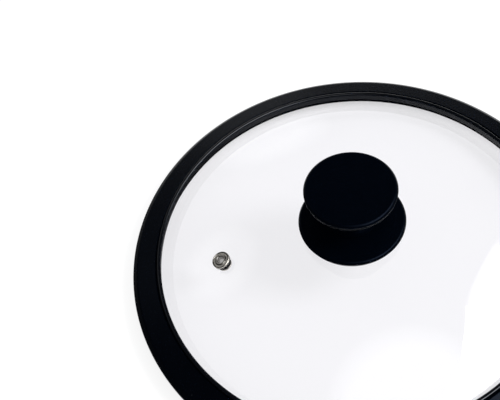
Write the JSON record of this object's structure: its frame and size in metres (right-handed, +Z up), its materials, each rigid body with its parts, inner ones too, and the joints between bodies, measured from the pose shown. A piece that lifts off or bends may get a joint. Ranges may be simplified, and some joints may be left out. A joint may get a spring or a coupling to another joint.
{
  "type": "glass pan lid",
  "caption": "Domed clear glass pan lid with a black silicone rim, a spool knob on a screw and a riveted steel steam vent.",
  "frame": {"origin": "on the lid's axis, in the plane of the skirt's bottom edge, on which the lid stands", "axes": "+Z up along the lid's axis; the steam vent lies towards -X"},
  "size_m": [0.252, 0.252, 0.068],
  "materials": {
    "clear_glass": "clear tempered, polished",
    "black_silicone": "matte moulded silicone",
    "polished_steel": "pressed and polished",
    "black_rubber": "matte",
    "black_moulding": "satin phenolic",
    "brass": "turned",
    "milky_silicone": "translucent moulded silicone",
    "zinc_steel": "bright zinc plate"
  },
  "bodies": {
    "lid": {"glass_dome": "clear_glass", "silicone_rim": "black_silicone", "vent_eyelet": "polished_steel", "vent_washer": "polished_steel", "vent_gasket": "black_rubber", "vent_grommet": "black_rubber", "knob_gasket": "milky_silicone", "screw_gasket": "milky_silicone", "flat_washer": "zinc_steel", "spring_washer": "zinc_steel", "knob_screw": "zinc_steel"},
    "guard": {"knob_base": "black_moulding"},
    "knob": {"knob_grip": "black_moulding", "knob_insert": "brass"}
  },
  "joints": [
    {"name": "knob_turn", "type": "hinge", "parent": "lid", "child": "guard", "pos_m": [0, 0, 0.0424], "axis": [0, 0, 1], "range_deg": [0, 3600]},
    {"name": "knob_lift", "type": "slide", "parent": "guard", "child": "knob", "axis": [0, 0, 1], "range_m": [0, 0.008]}
  ],
  "couplings": [
    {"joint": "knob_lift", "follows": "knob_turn", "m_per_rad": 0.00012732}
  ]
}
